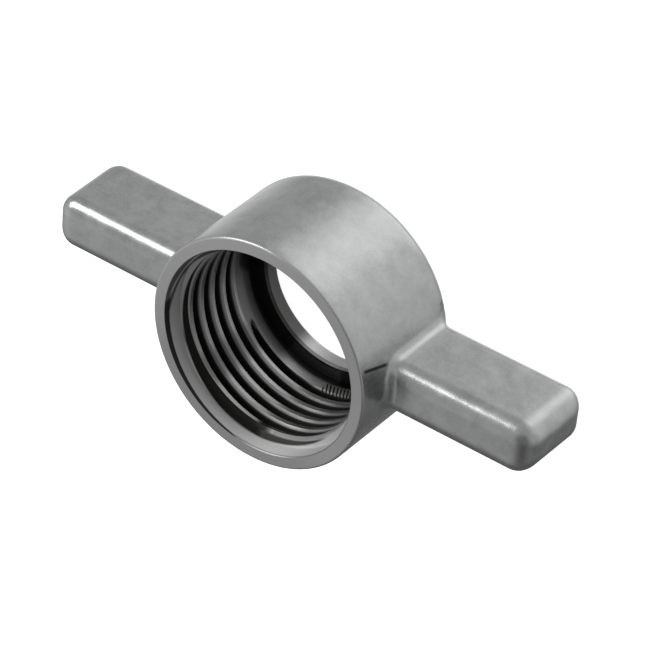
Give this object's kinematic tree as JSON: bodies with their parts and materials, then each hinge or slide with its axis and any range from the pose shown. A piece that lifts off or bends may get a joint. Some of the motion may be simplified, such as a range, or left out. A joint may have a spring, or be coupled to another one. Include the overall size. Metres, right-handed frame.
{
  "type": "beer line wing nut",
  "caption": "Wing nut with an inward flange at its back that pulls a beer line tail piece onto a threaded tap or coupler, turned by hand at its wings.",
  "frame": {"origin": "on the thread axis, at the nut's back face, which it stands on", "axes": "+Z along the thread axis, out of the mouth; +X along the wings; +Y across the wings' thickness"},
  "size_m": [0.0602, 0.0264, 0.0153],
  "materials": {
    "stainless": "satin cast and tumbled stainless steel, with a turned mouth, thread and outlet"
  },
  "bodies": {
    "root": {"wing_nut": "stainless"}
  },
  "joints": []
}
